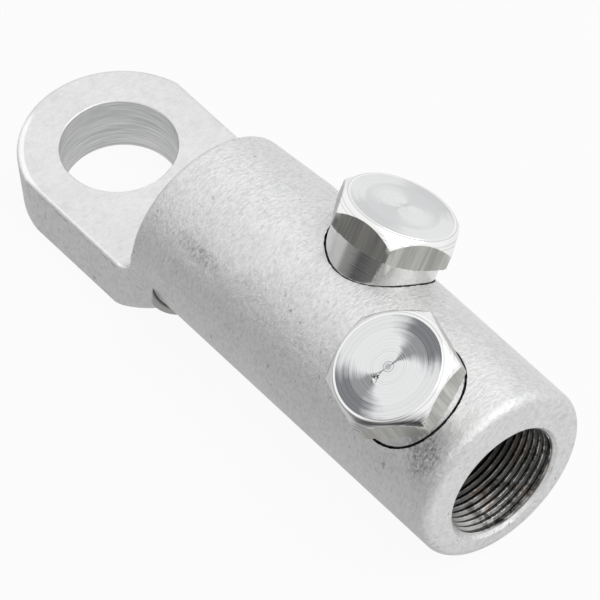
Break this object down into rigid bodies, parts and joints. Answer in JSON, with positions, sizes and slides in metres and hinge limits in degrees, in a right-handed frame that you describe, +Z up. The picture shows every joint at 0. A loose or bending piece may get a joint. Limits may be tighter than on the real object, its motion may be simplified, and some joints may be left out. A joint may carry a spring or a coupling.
{
  "type": "mechanical cable lug",
  "caption": "Mechanical cable lug: round barrel with a grooved blind cable bore and hexagon-headed shear bolts leaning to either side, and a flat rounded palm with a stud hole",
  "frame": {"origin": "centre of the stud hole on the palm's underside", "axes": "+X runs along the barrel from the palm to the cable mouth, +Z is up, out of the palm's upper face along the stud hole, and +Y completes a right-handed frame"},
  "size_m": [0.0992, 0.0353, 0.0367],
  "materials": {
    "plated_body": "tin-plated, pale satin grey with faint mottling",
    "turned_bolt": "bright, turned, with fine rings on the head's top"
  },
  "bodies": {
    "lug": {"lug_body": "plated_body"},
    "rear_bolt": {"rear_shear_bolt": "turned_bolt"},
    "front_bolt": {"front_shear_bolt": "turned_bolt"}
  },
  "joints": [
    {"name": "rear_bolt_screw", "type": "slide", "parent": "lug", "child": "rear_bolt", "axis": [0, 0.4848, 0.8746], "range_m": [-0.0025, 0.01]},
    {"name": "front_bolt_screw", "type": "slide", "parent": "lug", "child": "front_bolt", "axis": [0, -0.4067, 0.9135], "range_m": [-0.0025, 0.01]}
  ]
}
